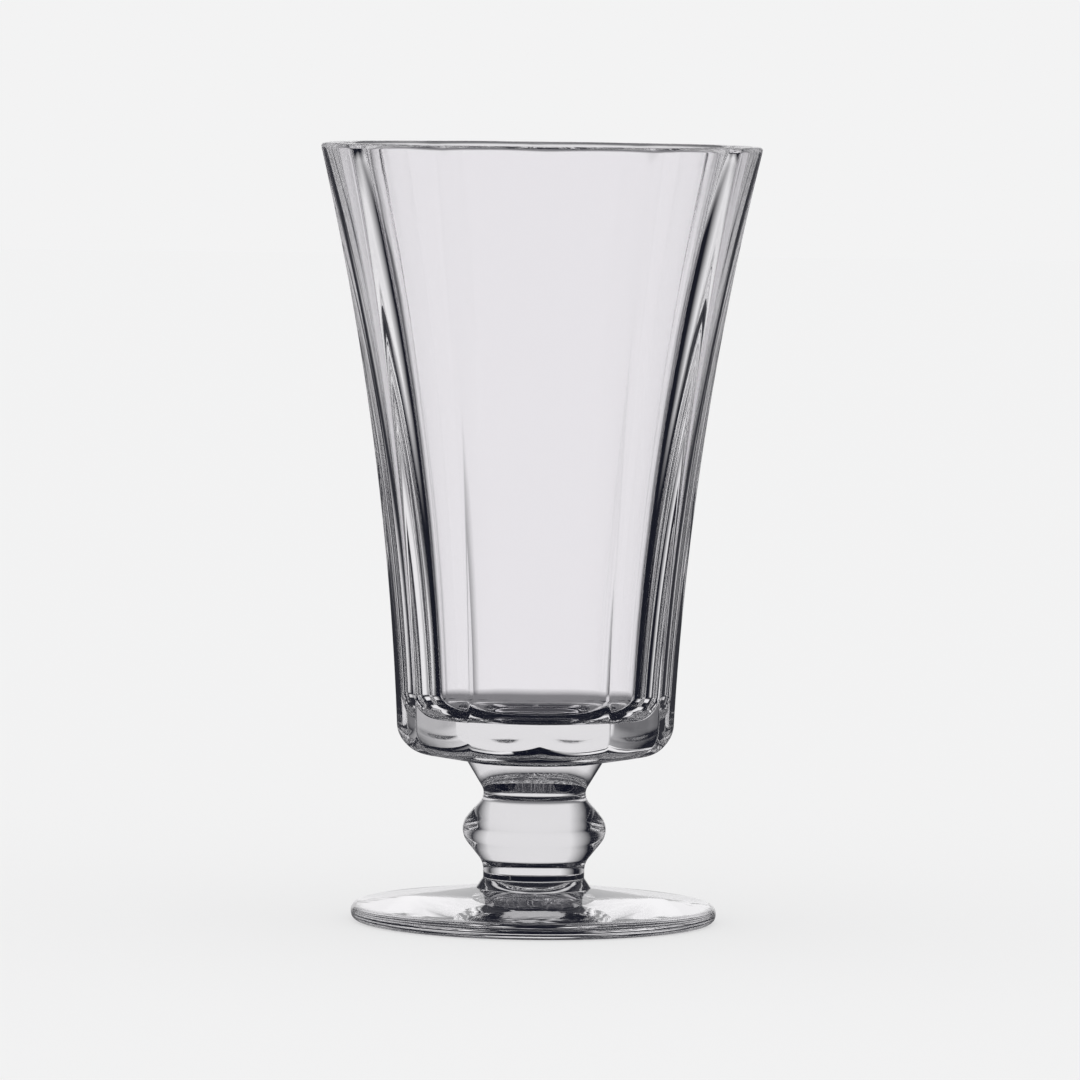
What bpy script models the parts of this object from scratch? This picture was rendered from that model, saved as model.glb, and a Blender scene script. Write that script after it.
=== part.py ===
"""Stemmed shot glass: a twelve-panel pressed bowl, a knopped stem and a disc foot, fused end to end.

Sizes are in metres, +Z is up, and the origin is the middle of the foot's underside.
"""

import math

import bpy
from mathutils import Matrix, Vector

# Bowl
PANEL_COUNT = 12
BOWL_HEIGHT = 0.0730
RIM_RADIUS = 0.0262
BOWL_BASE_RADIUS = 0.0164
BOWL_BASE_HEIGHT = 0.0039
PANEL_LEAN = 0.046
HEEL_INSET = 0.0003
HEEL_LIFT = 0.0011
HEEL_ROUND = 0.0032
RIM_WALL = 0.0014
BASE_WALL = 0.0051
BORE_LEAN = 0.045
BASE_THICKNESS = 0.0053
FLOOR_ROUND = 0.0050
LIP_OUTER_ROUND = 0.0006
LIP_INNER_ROUND = 0.00035

# Stem, from the bowl down; a corner radius is that of the sharp corner before its rounding
NECK_TOP_RADIUS = 0.0081
NECK_LENGTH = 0.0039
WAIST_CORNER_RADIUS = 0.00575
WAIST_ROUND = 0.0014
KNOP_TOP_LENGTH = 0.0042
KNOP_CORNER_RADIUS = 0.0092
KNOP_ROUND = 0.0025
KNOP_BOTTOM_LENGTH = 0.0040
LOWER_NECK_RADIUS = 0.0060
LOWER_NECK_ROUND = 0.0025
LOWER_NECK_LENGTH = 0.0018
COLLAR_LENGTH = 0.0012
COLLAR_RADIUS = 0.0068
COLLAR_ROUND = 0.0005

# Foot
FOOT_HEIGHT = 0.0039
FOOT_RADIUS = 0.02165
FOOT_EDGE = 0.0019
FOOT_EDGE_ROUND = 0.0009

# Fineness of the round surfaces
BOWL_STEPS = 60
STEM_STEPS = 48
FOOT_STEPS = 72
ARC_STEPS = 6
WALL_ROWS = 10
SHARP_ANGLE = math.radians(25)
MERGE_DISTANCE = 0.000001

# The panel body runs this far past both ends of the bowl, so that only its sides cut
PANEL_OVERRUN = 0.002

GLASS_COLOUR = (0.93, 0.95, 0.96, 1.0)
GLASS_ROUGHNESS = 0.02
GLASS_IOR = 1.52

STEM_HEIGHT = NECK_LENGTH + KNOP_TOP_LENGTH + KNOP_BOTTOM_LENGTH + LOWER_NECK_LENGTH + COLLAR_LENGTH


def clear_scene():
    for item in list(bpy.data.objects):
        bpy.data.objects.remove(item, do_unlink=True)


def new_collection(name):
    collection = bpy.data.collections.new(name)
    bpy.context.scene.collection.children.link(collection)
    return collection


def glass_material(name):
    material = bpy.data.materials.new(name)
    material.use_nodes = True
    shader = material.node_tree.nodes["Principled BSDF"]
    shader.inputs["Base Color"].default_value = GLASS_COLOUR
    shader.inputs["Roughness"].default_value = GLASS_ROUGHNESS
    shader.inputs["Metallic"].default_value = 0.0
    shader.inputs["IOR"].default_value = GLASS_IOR
    shader.inputs["Transmission Weight"].default_value = 1.0
    return material


def flare(base, top, lean, share):
    """Radius at a share of a wall's height, where lean is the growth that the base's own slope gives."""
    return base + lean * share + (top - base - lean) * share * share


def rounded_outline(corners):
    """Points along (radius, height, rounding) corners, with each rounded corner turned into an arc."""
    points = []
    for index, (radius, height, rounding) in enumerate(corners):
        corner = Vector((radius, height))
        if not rounding:
            points.append(corner)
            continue
        before = Vector(corners[index - 1][:2]) - corner
        after = Vector(corners[index + 1][:2]) - corner
        half_angle = before.angle(after) / 2
        reach = min(rounding / math.tan(half_angle), before.length / 2, after.length / 2)
        middle = (before.normalized() + after.normalized()).normalized()
        centre = corner + middle * (reach / math.cos(half_angle))
        start = corner + before.normalized() * reach - centre
        finish = corner + after.normalized() * reach - centre
        turn = -start.angle_signed(finish)
        for step in range(ARC_STEPS + 1):
            points.append(centre + Matrix.Rotation(turn * step / ARC_STEPS, 2) @ start)
    return points


def turned(name, outline, steps, collection):
    """A closed solid of revolution about Z from an outline that runs down its outer side."""
    mesh = bpy.data.meshes.new(name)
    vertices = [(point.x, 0.0, point.y) for point in outline]
    mesh.from_pydata(vertices, [(i, i + 1) for i in range(len(vertices) - 1)], [])
    solid = bpy.data.objects.new(name, mesh)
    collection.objects.link(solid)
    screw = solid.modifiers.new("Turn", "SCREW")
    screw.axis = "Z"
    screw.angle = math.tau
    screw.steps = steps
    screw.render_steps = steps
    screw.use_merge_vertices = True
    screw.merge_threshold = MERGE_DISTANCE
    return solid


def finish(solid, root, base_height):
    """Applies the modifiers, shades the round surfaces smooth and stands the piece at its height."""
    mesh = bpy.data.meshes.new_from_object(solid.evaluated_get(bpy.context.evaluated_depsgraph_get()))
    mesh.name = solid.name
    solid.modifiers.clear()
    solid.data = mesh
    mesh.shade_smooth()
    mesh.set_sharp_from_angle(angle=SHARP_ANGLE)
    mesh.materials.append(glass_material(solid.name + "_glass"))
    solid.location.z = base_height
    solid.parent = root


def panel_outline():
    """Ridge line of the flared panels, carried past both ends of the bowl."""
    top = BOWL_HEIGHT + PANEL_OVERRUN
    bottom = -PANEL_OVERRUN
    rise = BOWL_HEIGHT - BOWL_BASE_HEIGHT
    rows = 2 * WALL_ROWS
    outline = [Vector((0.0, top))]
    for row in range(rows + 1):
        height = top + (bottom - top) * row / rows
        share = (height - BOWL_BASE_HEIGHT) / rise
        outline.append(Vector((flare(BOWL_BASE_RADIUS, RIM_RADIUS, PANEL_LEAN * rise, share), height)))
    outline.append(Vector((0.0, bottom)))
    return outline


def cup_outline():
    """The turned cup: its floor, bore, lip, rounded heel and the shallow cone down to its weld face."""
    bore_base = BOWL_BASE_RADIUS - BASE_WALL
    mouth = RIM_RADIUS - RIM_WALL
    depth = BOWL_HEIGHT - BASE_THICKNESS
    corners = [(0.0, BASE_THICKNESS, 0.0), (bore_base, BASE_THICKNESS, FLOOR_ROUND)]
    # The rounding of the floor takes up the wall's lowest row
    for row in range(2, WALL_ROWS):
        share = row / WALL_ROWS
        radius = flare(bore_base, mouth, BORE_LEAN * depth, share)
        corners.append((radius, BASE_THICKNESS + depth * share, 0.0))
    corners += [
        (mouth, BOWL_HEIGHT, LIP_INNER_ROUND),
        (RIM_RADIUS, BOWL_HEIGHT, LIP_OUTER_ROUND),
        (BOWL_BASE_RADIUS - HEEL_INSET, HEEL_LIFT, HEEL_ROUND),
        (NECK_TOP_RADIUS, 0.0, 0.0),
        (0.0, 0.0, 0.0),
    ]
    return rounded_outline(corners)


def make_bowl(parts, cutters, root):
    """Flat flared panels, cut to the turned cup, so that they end in scallops on its round heel."""
    bowl = turned("bowl", panel_outline(), PANEL_COUNT, parts)
    cup = turned("bowl_cup", cup_outline(), BOWL_STEPS, cutters)
    # Half a step apart, the turned facets and the panels' ridges share no edge
    cup.rotation_euler.z = math.pi / BOWL_STEPS
    cup.hide_render = True
    cup.display_type = "WIRE"
    cut = bowl.modifiers.new("Cup", "BOOLEAN")
    cut.operation = "INTERSECT"
    cut.object = cup
    finish(bowl, root, FOOT_HEIGHT + STEM_HEIGHT)


def make_stem(parts, root):
    """The turned stem: flared neck, waist, ring knop, lower neck and collar."""
    lower_neck = COLLAR_LENGTH + LOWER_NECK_LENGTH
    knop = lower_neck + KNOP_BOTTOM_LENGTH
    waist = knop + KNOP_TOP_LENGTH
    corners = [
        (0.0, STEM_HEIGHT, 0.0),
        (NECK_TOP_RADIUS, STEM_HEIGHT, 0.0),
        (WAIST_CORNER_RADIUS, waist, WAIST_ROUND),
        (KNOP_CORNER_RADIUS, knop, KNOP_ROUND),
        (LOWER_NECK_RADIUS, lower_neck, LOWER_NECK_ROUND),
        (LOWER_NECK_RADIUS, COLLAR_LENGTH, COLLAR_ROUND),
        (COLLAR_RADIUS, 0.0, 0.0),
        (0.0, 0.0, 0.0),
    ]
    stem = turned("stem", rounded_outline(corners), STEM_STEPS, parts)
    finish(stem, root, FOOT_HEIGHT)


def make_foot(parts, root):
    """The disc foot: a weld face under the collar, a shallow cone and a rounded edge."""
    corners = [
        (0.0, FOOT_HEIGHT, 0.0),
        (COLLAR_RADIUS, FOOT_HEIGHT, 0.0),
        (FOOT_RADIUS, FOOT_EDGE, FOOT_EDGE_ROUND),
        (FOOT_RADIUS, 0.0, FOOT_EDGE_ROUND),
        (0.0, 0.0, 0.0),
    ]
    foot = turned("foot", rounded_outline(corners), FOOT_STEPS, parts)
    finish(foot, root, 0.0)


def main():
    clear_scene()
    parts = new_collection("stemmed_shot_glass")
    cutters = new_collection("cutters")
    root = bpy.data.objects.new("stemmed_shot_glass", None)
    parts.objects.link(root)
    make_bowl(parts, cutters, root)
    make_stem(parts, root)
    make_foot(parts, root)


main()
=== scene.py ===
"""Looks of the stemmed shot glass: fine clear-glass meshes of bowl, stem and foot on a pale studio floor."""

import math

import bpy
from mathutils import Matrix, Vector


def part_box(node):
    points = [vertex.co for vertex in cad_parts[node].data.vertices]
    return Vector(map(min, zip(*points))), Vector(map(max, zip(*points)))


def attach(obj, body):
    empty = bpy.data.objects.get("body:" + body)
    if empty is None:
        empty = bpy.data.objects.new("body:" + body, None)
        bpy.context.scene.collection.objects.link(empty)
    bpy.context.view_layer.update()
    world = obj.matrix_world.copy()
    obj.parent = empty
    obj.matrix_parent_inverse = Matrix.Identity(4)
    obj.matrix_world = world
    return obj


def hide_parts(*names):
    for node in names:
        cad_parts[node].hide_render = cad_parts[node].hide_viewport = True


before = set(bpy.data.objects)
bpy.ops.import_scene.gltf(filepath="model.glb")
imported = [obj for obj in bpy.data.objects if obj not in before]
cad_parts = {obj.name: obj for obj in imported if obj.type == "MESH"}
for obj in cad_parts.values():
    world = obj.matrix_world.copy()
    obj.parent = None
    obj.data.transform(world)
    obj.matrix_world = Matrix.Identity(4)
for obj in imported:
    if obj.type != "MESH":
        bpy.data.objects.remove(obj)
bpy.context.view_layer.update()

# Levels of the stack, from the frame
BOWL_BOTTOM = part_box("bowl")[0].z
RIM_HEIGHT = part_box("bowl")[1].z
STEM_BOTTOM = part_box("stem")[0].z
STEM_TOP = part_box("stem")[1].z
FOOT_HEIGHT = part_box("foot")[1].z
FOOT_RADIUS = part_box("foot")[1].x

# Bowl, in metres
PANEL_COUNT = 12
RIM_RADIUS = 0.0262
BOWL_BASE_RADIUS = 0.0164
BOWL_BASE_HEIGHT = 0.0039
PANEL_LEAN = 0.046
RIDGE_ROUND_HEEL = 0.0008
RIDGE_ROUND_RIM = 0.0045
HEEL_ROUND = 0.0036
HEEL_LIFT = 0.0009
RIM_WALL = 0.0014
BASE_WALL = 0.0051
BORE_LEAN = 0.045
BASE_THICKNESS = 0.0053
FLOOR_ROUND = 0.005
LIP_HEIGHT = 0.0006
# Power of the height by which the ridges' rounding grows towards the rim
ROUND_POWER = 1.5
# How much the heel's rounding shrinks where a panel lies inside the ridges, which makes the scallops
HEEL_WAVE = 1.5

# Stem, in metres, from the bowl down; a corner radius is that of the sharp corner before its rounding
NECK_TOP_RADIUS = 0.0081
WAIST_CORNER_RADIUS = 0.00575
WAIST_ROUND = 0.0014
KNOP_TOP_LENGTH = 0.0042
KNOP_CORNER_RADIUS = 0.0092
KNOP_ROUND = 0.0025
KNOP_BOTTOM_LENGTH = 0.0040
LOWER_NECK_RADIUS = 0.0060
LOWER_NECK_ROUND = 0.0025
LOWER_NECK_LENGTH = 0.0018
COLLAR_LENGTH = 0.0012
COLLAR_RADIUS = 0.0068
COLLAR_ROUND = 0.0005

# Foot, in metres
FOOT_EDGE = 0.0019
FOOT_EDGE_ROUND = 0.0009

# The stem's fused faces stay this far from the bowl and the foot, so that no two faces coincide
WELD_GAP = 0.00002

# Fineness of the meshes
ARC_STEPS = 14
TURNED_COLUMNS = 192
RIDGE_COLUMNS = 10
FLAT_COLUMNS = 9
PANEL_ROWS = 44
FLOOR_RINGS = 4
# Above 1, the rows of the panels lie closer together towards the heel
ROW_CROWDING = 1.3
# Least height between the bore's wall and the first row of its floor's rounding, in metres
ROW_GAP = 0.0001
SHARP_ANGLE = math.radians(35)

# Camera, fitted to the photograph's square frame
CAMERA_LENS = 260.0
CAMERA_DISTANCE = 0.923
CAMERA_AZIMUTH = math.radians(-1.7)
CAMERA_ELEVATION = math.radians(3.6)
CAMERA_ROLL = math.radians(-0.68)
CAMERA_TARGET = Vector((0.00028, 0.0, 0.0452))
CAMERA_NEAR = 0.01

# Glass: its flow lines are a noise that is stretched upright, and its polish is a fine noise
GLASS_COLOUR = (0.995, 0.985, 1.0, 1.0)
GLASS_IOR = 1.52
FLOW_SCALE = 240.0
FLOW_STRETCH = 0.1
FLOW_DETAIL = 2.0
FLOW_STRENGTH = 1.0
FLOW_DEPTH = 0.00002
POLISH_SCALE = 700.0
HAZE = 0.008

# Floor, in metres: it lies a little under the foot, so that no two faces coincide
FLOOR_REACH = 3.0
FLOOR_DROP = 0.00005
# Share of the floor's own shading, and so of the glass's shadow, that the camera sees
SHADOW_SHARE = 0.35

# Studio: the pale ground, and the brightest and the darkest that the glass shows
PALE = (0.896, 0.896, 0.898)
BRIGHT = (0.945, 0.942, 0.95)
DARK = (0.004, 0.005, 0.012)

# The glass's surroundings follow, for each way that a ray takes through the glass. Limits are in degrees:
# left and right from straight behind the glass, low and high from level, and half, near and far to both sides
# of either. A soft value is half the width of a limit's ramp. A level is a tone from 0, dark, to 1, bright.

# Straight through the glass: a panel behind it and one at each side
BACK_LEFT = -31.0
BACK_RIGHT = 43.0
BACK_SOFT = 10.0
BACK_LOW = -18.0
BACK_LOW_SOFT = 7.0
BACK_HIGH = 36.0
BACK_HIGH_SOFT = 14.0
SIDE_NEAR = 62.0
SIDE_FAR = 118.0
# The table, which starts lower straight behind the glass than beside it, by the slope
TABLE_NEAR = 36.0
TABLE_DEPTH = 34.0
TABLE_SLOPE = 0.4
TABLE_STEEP = -54.0
TABLE_SOFT = 4.0
# A grey strip under the panel, and grey far up and down
UNDER_LOW = -37.0
UNDER_SOFT = 3.0
UNDER_LEVEL = 0.26
STEEP_HALF = 52.0
STEEP_SOFT = 6.0
STEEP_LEVEL = 0.11
# Share of those tones in rays that cross only two surfaces, as in the stem and the foot
SOLID_SHARE = 0.84

# Reflected once: two bands, each dark in its middle
WALL_LEFT = -40.0
WALL_RIGHT = 24.0
WALL_LOW = -10.5
WALL_HIGH = 0.0
WALL_CENTRE = 12.0
UPPER_LEFT = -50.0
UPPER_RIGHT = 48.0
UPPER_LOW = -28.0
UPPER_HIGH = -15.5
UPPER_CENTRE = 18.0
ONCE_END_SOFT = 8.0
ONCE_EDGE_SOFT = 1.5
ONCE_CENTRE_SOFT = 3.0
ONCE_LEVEL = 0.95

# Reflected two to four times: nearly dark, but for a raised patch. From five times on, a level band is bright
LEVEL_HALF = 30.0
LEVEL_NEAR = 15.0
LEVEL_FAR = 105.0
LEVEL_SOFT = 4.0
FEW_DARK = 0.01
FEW_LEVEL = 0.06
RAISED_LOW = 44.0
RAISED_HIGH = 58.0
RAISED_SOFT = 3.0
RAISED_HALF = 40.0
RAISED_END_SOFT = 6.0
RAISED_LEVEL = 0.65
MANY_DARK = 0.06
MANY_LEVEL = 0.95

# Reflected ten times or more: bright all round
END_HALF = 38.0
END_SOFT = 6.0
END_LEVEL = 0.85

# Mirrored by the outside: a bright strip straight behind the glass
MIRROR_HALF = 16.0
MIRROR_SOFT = 4.0
MIRROR_LOW = -5.0
MIRROR_LOW_SOFT = 3.0
MIRROR_DARK = 0.08

# Light is followed through many reflections inside the glass
MOST_BOUNCES = 40
GLASS_BOUNCES = 32


def flare(base, top, lean, share):
    """Radius at a share of a wall's height, where lean is the growth that the base's own slope gives."""
    return base + lean * share + (top - base - lean) * share * share


def corner_arc(before, corner, after, rounding):
    """Centre of the arc that rounds a corner, and its two ends as seen from the centre."""
    back = before - corner
    on = after - corner
    half_angle = back.angle(on) / 2
    reach = min(rounding / math.tan(half_angle), back.length / 2, on.length / 2)
    middle = (back.normalized() + on.normalized()).normalized()
    centre = corner + middle * (reach / math.cos(half_angle))
    start = corner + back.normalized() * reach - centre
    finish = corner + on.normalized() * reach - centre
    return centre, start, finish


def arc_points(centre, start, finish, steps):
    """Points on an arc about centre, from start to finish, both seen from the centre."""
    turn = -start.angle_signed(finish)
    return [centre + Matrix.Rotation(turn * step / steps, 2) @ start for step in range(steps + 1)]


def rounded_outline(corners):
    """Points along (radius, height, rounding) corners, with each rounded corner turned into an arc."""
    points = []
    for index, (radius, height, rounding) in enumerate(corners):
        corner = Vector((radius, height))
        if not rounding:
            points.append(corner)
            continue
        before = Vector(corners[index - 1][:2])
        after = Vector(corners[index + 1][:2])
        points += arc_points(*corner_arc(before, corner, after, rounding), ARC_STEPS)
    return points


def closed_mesh(name, columns, weld):
    """A closed body from columns of (angle, radius, height) points that run from pole to pole.

    A face between two points for which weld(radius, height) is true gets the second material slot.
    """
    rows = len(columns[0])
    count = len(columns)
    vertices = [(0.0, 0.0, columns[0][0][2])]
    for column in columns:
        for angle, radius, height in column[1:-1]:
            vertices.append((radius * math.cos(angle), radius * math.sin(angle), height))
    vertices.append((0.0, 0.0, columns[0][-1][2]))
    last = len(vertices) - 1

    def index(column, row):
        if row == 0:
            return 0
        if row == rows - 1:
            return last
        return 1 + (column % count) * (rows - 2) + row - 1

    faces = []
    slots = []
    for column in range(count):
        for row in range(rows - 1):
            side = [index(column, row), index(column, row + 1)]
            other_side = [index(column + 1, row + 1), index(column + 1, row)]
            faces.append(list(dict.fromkeys(side + other_side)))
            fused = weld(*columns[column][row][1:]) and weld(*columns[column][row + 1][1:])
            slots.append(int(fused))
    mesh = bpy.data.meshes.new(name)
    mesh.from_pydata(vertices, [], faces)
    mesh.polygons.foreach_set("material_index", slots)
    mesh.shade_smooth()
    mesh.set_sharp_from_angle(angle=SHARP_ANGLE)
    piece = bpy.data.objects.new(name, mesh)
    bpy.context.scene.collection.objects.link(piece)
    return piece


def turned(name, outline, weld):
    """A solid of revolution from an outline that runs from pole to pole, down its outer side."""
    columns = []
    for step in range(TURNED_COLUMNS):
        angle = math.tau * step / TURNED_COLUMNS
        columns.append([(angle, point.x, point.y) for point in outline])
    return closed_mesh(name, columns, weld)


def ridge_radius(height):
    """Distance of the panels' sharp ridge from the axis at a height above the table."""
    base_height = BOWL_BOTTOM + BOWL_BASE_HEIGHT
    rise = RIM_HEIGHT - base_height
    share = (height - base_height) / rise
    return flare(BOWL_BASE_RADIUS, RIM_RADIUS, PANEL_LEAN * rise, share)


def ridge_round(height):
    """Rounding of the panels' ridges at a height: they soften towards the rim."""
    share = (height - BOWL_BOTTOM) / (RIM_HEIGHT - BOWL_BOTTOM)
    return RIDGE_ROUND_HEEL + (RIDGE_ROUND_RIM - RIDGE_ROUND_HEEL) * share ** ROUND_POWER


def panel_point(kind, panel, share, height):
    """(angle, radius) on the panels at a height, by a share of a panel's flat or of its ridge's rounding."""
    half = math.pi / PANEL_COUNT
    rounding = ridge_round(height)
    middle = ridge_radius(height) - rounding
    apothem = middle * math.cos(half) + rounding
    if kind == "flat":
        across = middle * math.sin(half) * share
        return (2 * panel + 1) * half + math.atan2(across, apothem), math.hypot(across, apothem)
    lean = half * share
    x = middle + rounding * math.cos(lean)
    y = rounding * math.sin(lean)
    return 2 * panel * half + math.atan2(y, x), math.hypot(x, y)


def panel_columns():
    """The columns of the bowl's outside, as (kind, panel, share), once round."""
    ridges = [-1 + 2 * step / RIDGE_COLUMNS for step in range(RIDGE_COLUMNS + 1)]
    flats = [-1 + 2 * step / FLAT_COLUMNS for step in range(1, FLAT_COLUMNS)]
    columns = []
    for panel in range(PANEL_COUNT):
        columns += [("ridge", panel, share) for share in ridges]
        columns += [("flat", panel, share) for share in flats]
    return columns


def bore_outline():
    """The smooth bore from just under the lip down to the middle of its floor."""
    floor = BOWL_BOTTOM + BASE_THICKNESS
    depth = RIM_HEIGHT - floor
    base = BOWL_BASE_RADIUS - BASE_WALL
    mouth = RIM_RADIUS - RIM_WALL
    wall = []
    for row in range(PANEL_ROWS):
        share = (1 - LIP_HEIGHT / depth) * (1 - row / PANEL_ROWS)
        wall.append(Vector((flare(base, mouth, BORE_LEAN * depth, share), floor + depth * share)))
    # The rounding of the floor starts on the wall, at about the rounding's own height
    kept = [point for point in wall if point.y > floor + FLOOR_ROUND]
    arc = corner_arc(kept[-1], Vector((base, floor)), Vector((0.0, floor)), FLOOR_ROUND)
    rounding = [point for point in arc_points(*arc, ARC_STEPS) if point.y < kept[-1].y - ROW_GAP]
    inner = rounding[-1].x
    rings = [Vector((inner * (1 - ring / FLOOR_RINGS), floor)) for ring in range(1, FLOOR_RINGS + 1)]
    return kept + rounding + rings


def heel_points(column):
    """The underside and the rounded heel of one column, and the height where the panel takes over."""
    ring_height = BOWL_BOTTOM + HEEL_LIFT
    heel_top = ring_height + HEEL_ROUND
    angle, wall = panel_point(*column, heel_top)
    rounding = HEEL_ROUND - HEEL_WAVE * (ridge_radius(heel_top) - wall)
    ring = wall - rounding
    points = [(angle, radius, BOWL_BOTTOM) for radius in (0.0, NECK_TOP_RADIUS / 2, NECK_TOP_RADIUS)]
    start = -math.pi / 2 + math.atan2(HEEL_LIFT, ring - NECK_TOP_RADIUS)
    for step in range(ARC_STEPS):
        turn = start - start * step / ARC_STEPS
        radius = ring + rounding * math.cos(turn)
        height = ring_height + rounding + rounding * math.sin(turn)
        points.append((angle, radius, height))
    return points, ring_height + rounding


def lip_points(column, inner):
    """The rounded lip of one column, from the outside over to the bore's inner radius."""
    lip_base = RIM_HEIGHT - LIP_HEIGHT
    angle, outer = panel_point(*column, lip_base)
    lean = (ridge_radius(RIM_HEIGHT) - ridge_radius(lip_base)) / LIP_HEIGHT
    points = []
    for step in range(1, ARC_STEPS):
        turn = math.pi * step / ARC_STEPS
        rise = LIP_HEIGHT * math.sin(turn)
        ring = (outer + inner) / 2 + (outer - inner) / 2 * math.cos(turn) + lean * rise
        points.append((angle, ring, lip_base + rise))
    return points, angle


def bowl_column(column, bore):
    """One column of the bowl, from the middle of its floor over the lip to the middle of its underside."""
    points, heel_top = heel_points(column)
    lip_base = RIM_HEIGHT - LIP_HEIGHT
    for row in range(PANEL_ROWS + 1):
        share = (row / PANEL_ROWS) ** ROW_CROWDING
        height = heel_top + (lip_base - heel_top) * share
        points.append((*panel_point(*column, height), height))
    lip, angle = lip_points(column, bore[0].x)
    points += lip
    points += [(angle, point.x, point.y) for point in bore]
    return points[::-1]


def make_bowl():
    """The panelled bowl: flared panels that run out on a rounded heel, and a smooth bore."""
    bore = bore_outline()
    columns = [bowl_column(column, bore) for column in panel_columns()]

    def weld(radius, height):
        return height == BOWL_BOTTOM and radius <= NECK_TOP_RADIUS

    return closed_mesh("glass_bowl", columns, weld)


def make_stem():
    """The turned stem: flared neck, waist, ring knop, lower neck and collar."""
    top = STEM_TOP - WELD_GAP
    bottom = STEM_BOTTOM + WELD_GAP
    collar = STEM_BOTTOM + COLLAR_LENGTH
    lower_neck = collar + LOWER_NECK_LENGTH
    knop = lower_neck + KNOP_BOTTOM_LENGTH
    waist = knop + KNOP_TOP_LENGTH
    outline = rounded_outline([
        (0.0, top, 0.0),
        (NECK_TOP_RADIUS, top, 0.0),
        (WAIST_CORNER_RADIUS, waist, WAIST_ROUND),
        (KNOP_CORNER_RADIUS, knop, KNOP_ROUND),
        (LOWER_NECK_RADIUS, lower_neck, LOWER_NECK_ROUND),
        (LOWER_NECK_RADIUS, collar, COLLAR_ROUND),
        (COLLAR_RADIUS, bottom, 0.0),
        (0.0, bottom, 0.0),
    ])

    def weld(radius, height):
        return height in (outline[0].y, outline[-1].y)

    return turned("glass_stem", outline, weld)


def make_foot():
    """The disc foot: a weld face under the collar, a shallow cone and a rounded edge."""
    outline = rounded_outline([
        (0.0, FOOT_HEIGHT, 0.0),
        (COLLAR_RADIUS, FOOT_HEIGHT, 0.0),
        (FOOT_RADIUS, FOOT_EDGE, FOOT_EDGE_ROUND),
        (FOOT_RADIUS, 0.0, FOOT_EDGE_ROUND),
        (0.0, 0.0, 0.0),
    ])

    def weld(radius, height):
        return height == outline[0].y

    return turned("glass_foot", outline, weld)


def clear_glass():
    """Colourless pressed glass with faint upright flow lines and a slightly uneven polish."""
    material = bpy.data.materials.new("clear_glass")
    material.use_nodes = True
    nodes = material.node_tree.nodes
    links = material.node_tree.links
    shader = nodes["Principled BSDF"]
    shader.inputs["Base Color"].default_value = GLASS_COLOUR
    shader.inputs["IOR"].default_value = GLASS_IOR
    shader.inputs["Transmission Weight"].default_value = 1.0
    place = nodes.new("ShaderNodeTexCoord")
    stretch = nodes.new("ShaderNodeMapping")
    stretch.inputs["Scale"].default_value = (1.0, 1.0, FLOW_STRETCH)
    links.new(place.outputs["Object"], stretch.inputs["Vector"])
    flow = nodes.new("ShaderNodeTexNoise")
    flow.inputs["Scale"].default_value = FLOW_SCALE
    flow.inputs["Detail"].default_value = FLOW_DETAIL
    links.new(stretch.outputs["Vector"], flow.inputs["Vector"])
    bump = nodes.new("ShaderNodeBump")
    bump.inputs["Strength"].default_value = FLOW_STRENGTH
    bump.inputs["Distance"].default_value = FLOW_DEPTH
    links.new(flow.outputs["Fac"], bump.inputs["Height"])
    links.new(bump.outputs["Normal"], shader.inputs["Normal"])
    polish = nodes.new("ShaderNodeTexNoise")
    polish.inputs["Scale"].default_value = POLISH_SCALE
    links.new(place.outputs["Object"], polish.inputs["Vector"])
    haze = nodes.new("ShaderNodeMapRange")
    haze.inputs["To Max"].default_value = HAZE
    links.new(polish.outputs["Fac"], haze.inputs["Value"])
    links.new(haze.outputs["Result"], shader.inputs["Roughness"])
    return material


def weld_face():
    """The face where two pieces are one glass: nothing shows there."""
    material = bpy.data.materials.new("fused_face")
    material.use_nodes = True
    material.node_tree.nodes["Principled BSDF"].inputs["Alpha"].default_value = 0.0
    return material


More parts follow.
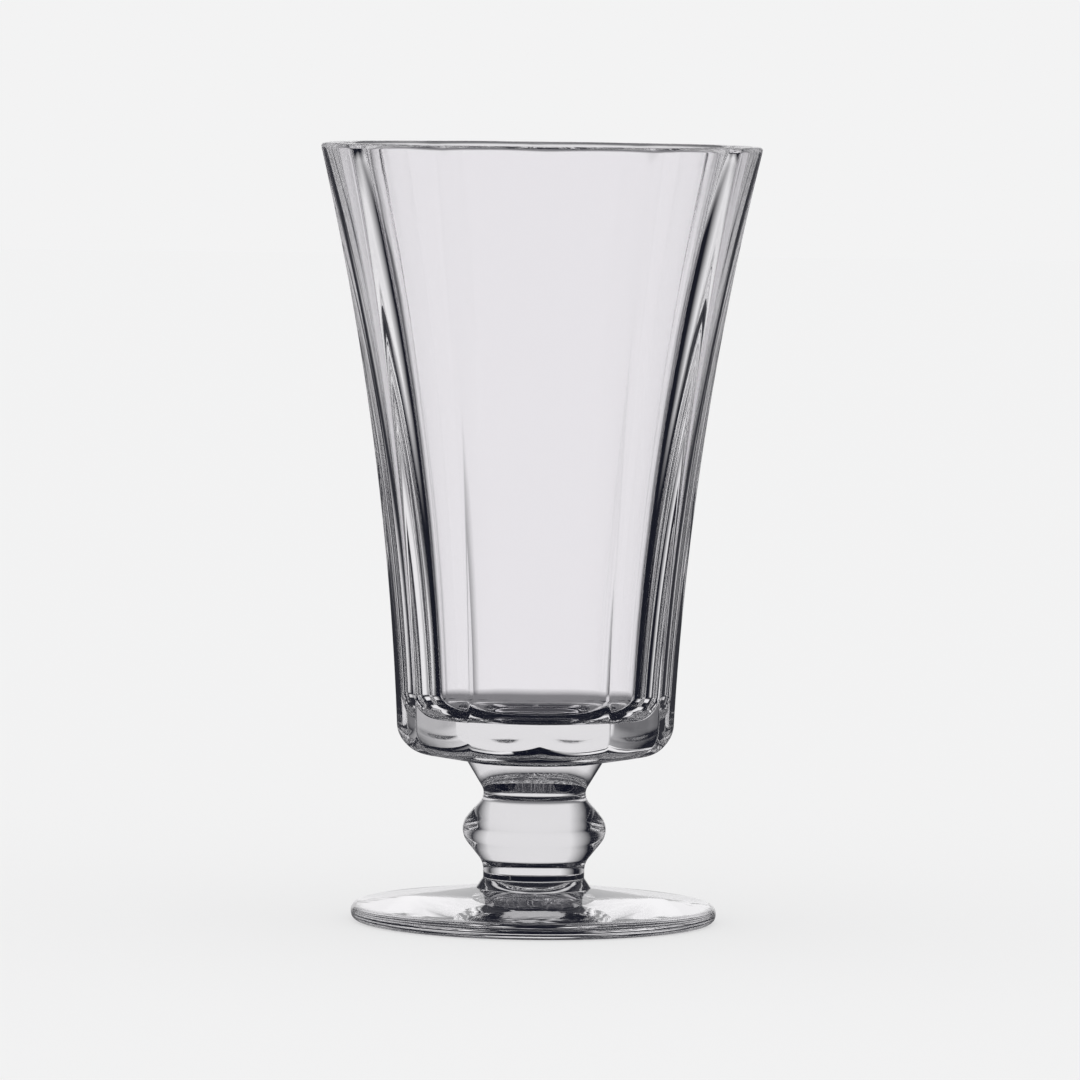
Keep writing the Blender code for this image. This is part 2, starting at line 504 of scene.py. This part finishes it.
class NodeMaths:
    """Arithmetic on the values of a node tree. A mask runs from 0 to 1."""

    def __init__(self, tree):
        self.nodes = tree.nodes
        self.links = tree.links

    def calc(self, operation, *values):
        """The result of a maths node whose inputs are numbers or other results."""
        node = self.nodes.new("ShaderNodeMath")
        node.operation = operation
        for socket, value in zip(node.inputs, values):
            if isinstance(value, (int, float)):
                socket.default_value = value
            else:
                self.links.new(value, socket)
        return node.outputs[0]

    def both(self, first, second):
        return self.calc("MULTIPLY", first, second)

    def either(self, first, second):
        return self.calc("MAXIMUM", first, second)

    def unlike(self, mask):
        return self.calc("SUBTRACT", 1.0, mask)

    def above(self, angle, limit, soft):
        """A mask of the angles above a limit, both limit and soft in degrees."""
        ramp = self.nodes.new("ShaderNodeMapRange")
        ramp.inputs["From Min"].default_value = math.radians(limit - soft)
        ramp.inputs["From Max"].default_value = math.radians(limit + soft)
        self.links.new(angle, ramp.inputs["Value"])
        return ramp.outputs["Result"]

    def below(self, angle, limit, soft):
        return self.unlike(self.above(angle, limit, soft))

    def between(self, angle, low, high, soft):
        return self.calc("SUBTRACT", self.above(angle, low, soft), self.above(angle, high, soft))

    def level(self, mask, low, high):
        """A tone that goes from low to high with a mask."""
        return self.calc("MULTIPLY_ADD", mask, high - low, low)

    def choose(self, switch, off, on):
        """One of two tones."""
        mix = self.nodes.new("ShaderNodeMix")
        self.links.new(switch, mix.inputs["Factor"])
        self.links.new(off, mix.inputs["A"])
        self.links.new(on, mix.inputs["B"])
        return mix.outputs["Result"]

    def choose_shader(self, switch, off, on):
        """One of two shaders."""
        mix = self.nodes.new("ShaderNodeMixShader")
        self.links.new(switch, mix.inputs[0])
        self.links.new(off, mix.inputs[1])
        self.links.new(on, mix.inputs[2])
        return mix.outputs["Shader"]

    def light(self, colour):
        """An even light of a world, in a colour or in the result of a colour node."""
        background = self.nodes.new("ShaderNodeBackground")
        if isinstance(colour, tuple):
            background.inputs["Color"].default_value = (*colour, 1.0)
        else:
            self.links.new(colour, background.inputs["Color"])
        return background.outputs["Background"]


class Rays(NodeMaths):
    """The rays that reach the world, with their directions and what they met in the glass."""

    def __init__(self, tree):
        super().__init__(tree)
        direction = self.nodes.new("ShaderNodeTexCoord").outputs["Generated"]
        split = self.nodes.new("ShaderNodeSeparateXYZ")
        self.links.new(direction, split.inputs[0])
        x, y, z = split.outputs
        self.azimuth = self.calc("ARCTAN2", x, y)
        self.aside = self.calc("ABSOLUTE", self.azimuth)
        self.elevation = self.calc("ARCSINE", z)
        self.path = self.nodes.new("ShaderNodeLightPath").outputs

    def reflected(self, times):
        """A mask of the rays that were reflected at least so many times."""
        return self.calc("GREATER_THAN", self.path["Glossy Depth"], times - 0.5)

    def crossed(self, surfaces):
        """A mask of the rays that went through at least so many surfaces."""
        return self.calc("GREATER_THAN", self.path["Transmission Depth"], surfaces - 0.5)


def table_mask(rays, hollow):
    """The bright table, which rays see low beside the glass, and under it if they cross solid glass."""
    depth = rays.calc("SUBTRACT", rays.calc("MULTIPLY", rays.aside, TABLE_SLOPE), rays.elevation)
    beside = rays.both(
        rays.above(depth, TABLE_DEPTH, TABLE_SOFT),
        rays.above(rays.aside, TABLE_NEAR, TABLE_SOFT),
    )
    under = rays.both(rays.unlike(hollow), rays.below(rays.elevation, TABLE_STEEP, TABLE_SOFT))
    return rays.either(beside, under)


def straight_tone(rays):
    """Rays straight through the glass see bright panels behind and beside it, the table, and grey."""
    hollow = rays.crossed(3)
    low = rays.below(rays.elevation, BACK_HIGH, BACK_HIGH_SOFT)
    tall = rays.both(rays.above(rays.elevation, BACK_LOW, BACK_LOW_SOFT), low)
    back = rays.both(rays.between(rays.azimuth, BACK_LEFT, BACK_RIGHT, BACK_SOFT), tall)
    sides = rays.both(rays.between(rays.aside, SIDE_NEAR, SIDE_FAR, BACK_SOFT), low)
    bright = rays.either(rays.either(back, sides), table_mask(rays, hollow))
    under = rays.both(rays.between(rays.elevation, UNDER_LOW, BACK_LOW, UNDER_SOFT), UNDER_LEVEL)
    level = rays.between(rays.elevation, -STEEP_HALF, STEEP_HALF, STEEP_SOFT)
    steep = rays.both(rays.unlike(level), STEEP_LEVEL)
    tone = rays.either(bright, rays.either(under, steep))
    return rays.both(tone, rays.level(hollow, SOLID_SHARE, 1.0))


def once_band(rays, left, right, low, high, centre):
    """A bright band that is dark in its middle."""
    across = rays.between(rays.azimuth, left, right, ONCE_END_SOFT)
    band = rays.both(across, rays.between(rays.elevation, low, high, ONCE_EDGE_SOFT))
    return rays.both(band, rays.above(rays.aside, centre, ONCE_CENTRE_SOFT))


def once_tone(rays):
    """Rays that were reflected once see two bright bands in the dark."""
    wall = once_band(rays, WALL_LEFT, WALL_RIGHT, WALL_LOW, WALL_HIGH, WALL_CENTRE)
    upper = once_band(rays, UPPER_LEFT, UPPER_RIGHT, UPPER_LOW, UPPER_HIGH, UPPER_CENTRE)
    return rays.both(rays.either(wall, upper), ONCE_LEVEL)


def often_tone(rays):
    """Rays that were reflected more than once: nearly dark at first, and bright bands after many times."""
    band = rays.both(
        rays.between(rays.elevation, -LEVEL_HALF, LEVEL_HALF, LEVEL_SOFT),
        rays.between(rays.aside, LEVEL_NEAR, LEVEL_FAR, LEVEL_SOFT),
    )
    raised = rays.both(
        rays.between(rays.elevation, RAISED_LOW, RAISED_HIGH, RAISED_SOFT),
        rays.below(rays.aside, RAISED_HALF, RAISED_END_SOFT),
    )
    few = rays.either(rays.level(band, FEW_DARK, FEW_LEVEL), rays.both(raised, RAISED_LEVEL))
    many = rays.level(band, MANY_DARK, MANY_LEVEL)
    end = rays.level(rays.between(rays.elevation, -END_HALF, END_HALF, END_SOFT), MANY_DARK, END_LEVEL)
    return rays.choose(rays.reflected(5), few, rays.choose(rays.reflected(10), many, end))


def mirror_tone(rays):
    """Rays that the outside of the glass mirrors see a bright strip straight behind it."""
    strip = rays.both(
        rays.above(rays.elevation, MIRROR_LOW, MIRROR_LOW_SOFT),
        rays.below(rays.aside, MIRROR_HALF, MIRROR_SOFT),
    )
    return rays.level(strip, MIRROR_DARK, 1.0)


def glass_surroundings(rays):
    """What the glass shows of the studio, by the way that a ray took through it."""
    at_most_once = rays.choose(rays.reflected(1), straight_tone(rays), once_tone(rays))
    inside = rays.choose(rays.reflected(2), at_most_once, often_tone(rays))
    tone = rays.choose(rays.crossed(1), mirror_tone(rays), inside)
    colour = rays.nodes.new("ShaderNodeMix")
    colour.data_type = "RGBA"
    rays.links.new(tone, colour.inputs["Factor"])
    # The sockets of a mix node's colours come after those of its numbers and vectors
    colour.inputs[6].default_value = (*DARK, 1.0)
    colour.inputs[7].default_value = (*BRIGHT, 1.0)
    return rays.light(colour.outputs[2])


def make_world():
    """A pale studio with even white light, and darker surroundings for rays that have met the glass."""
    world = bpy.data.worlds.new("studio")
    bpy.context.scene.world = world
    world.use_nodes = True
    world.node_tree.nodes.clear()
    rays = Rays(world.node_tree)
    white = (1.0, 1.0, 1.0)
    plain = rays.choose_shader(rays.path["Is Diffuse Ray"], rays.light(PALE), rays.light(white))
    met_glass = rays.either(rays.reflected(1), rays.crossed(1))
    shown = rays.choose_shader(met_glass, plain, glass_surroundings(rays))
    output = rays.nodes.new("ShaderNodeOutputWorld")
    rays.links.new(shown, output.inputs["Surface"])


def pale_floor():
    """A pale matt floor, even in front of the camera but for a faint shadow of the glass."""
    material = bpy.data.materials.new("pale_floor")
    material.use_nodes = True
    material.node_tree.nodes.clear()
    maths = NodeMaths(material.node_tree)
    matt = maths.nodes.new("ShaderNodeBsdfDiffuse")
    matt.inputs["Color"].default_value = (*PALE, 1.0)
    even = maths.nodes.new("ShaderNodeEmission")
    even.inputs["Color"].default_value = (*PALE, 1.0)
    path = maths.nodes.new("ShaderNodeLightPath")
    share = maths.both(path.outputs["Is Camera Ray"], 1 - SHADOW_SHARE)
    surface = maths.choose_shader(share, matt.outputs["BSDF"], even.outputs["Emission"])
    output = maths.nodes.new("ShaderNodeOutputMaterial")
    maths.links.new(surface, output.inputs["Surface"])
    return material


def make_floor():
    """A large pale floor under the glass. Rays that met the glass don't see it, but the world's table."""
    mesh = bpy.data.meshes.new("floor")
    signs = ((-1, -1), (1, -1), (1, 1), (-1, 1))
    corners = [(FLOOR_REACH * x, FLOOR_REACH * y, 0.0) for x, y in signs]
    mesh.from_pydata(corners, [], [(0, 1, 2, 3)])
    floor = bpy.data.objects.new("floor", mesh)
    floor.location.z = -FLOOR_DROP
    bpy.context.scene.collection.objects.link(floor)
    mesh.materials.append(pale_floor())
    floor.visible_glossy = False
    floor.visible_transmission = False


def make_camera():
    """The photograph's long-lens view from slightly above the rim."""
    camera = bpy.data.objects.new("camera", bpy.data.cameras.new("camera"))
    bpy.context.scene.collection.objects.link(camera)
    camera.data.lens = CAMERA_LENS
    camera.data.clip_start = CAMERA_NEAR
    back = Vector((
        math.sin(CAMERA_AZIMUTH) * math.cos(CAMERA_ELEVATION),
        -math.cos(CAMERA_AZIMUTH) * math.cos(CAMERA_ELEVATION),
        math.sin(CAMERA_ELEVATION),
    ))
    camera.location = CAMERA_TARGET + back * CAMERA_DISTANCE
    turn = (-back).to_track_quat("-Z", "Y").to_matrix() @ Matrix.Rotation(-CAMERA_ROLL, 3, "Z")
    camera.rotation_euler = turn.to_euler()
    bpy.context.scene.camera = camera


def set_light_paths():
    """Lets light be reflected often enough inside the glass."""
    cycles = bpy.context.scene.cycles
    cycles.max_bounces = MOST_BOUNCES
    cycles.glossy_bounces = GLASS_BOUNCES
    cycles.transmission_bounces = GLASS_BOUNCES
    cycles.transparent_max_bounces = GLASS_BOUNCES


glass = clear_glass()
fused = weld_face()
for piece, node in ((make_bowl(), "bowl"), (make_stem(), "stem"), (make_foot(), "foot")):
    piece.data.materials.append(glass)
    piece.data.materials.append(fused)
    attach(piece, "root")
    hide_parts(node)

make_floor()
make_world()
make_camera()
set_light_paths()
bpy.context.scene.view_settings.view_transform = "Standard"
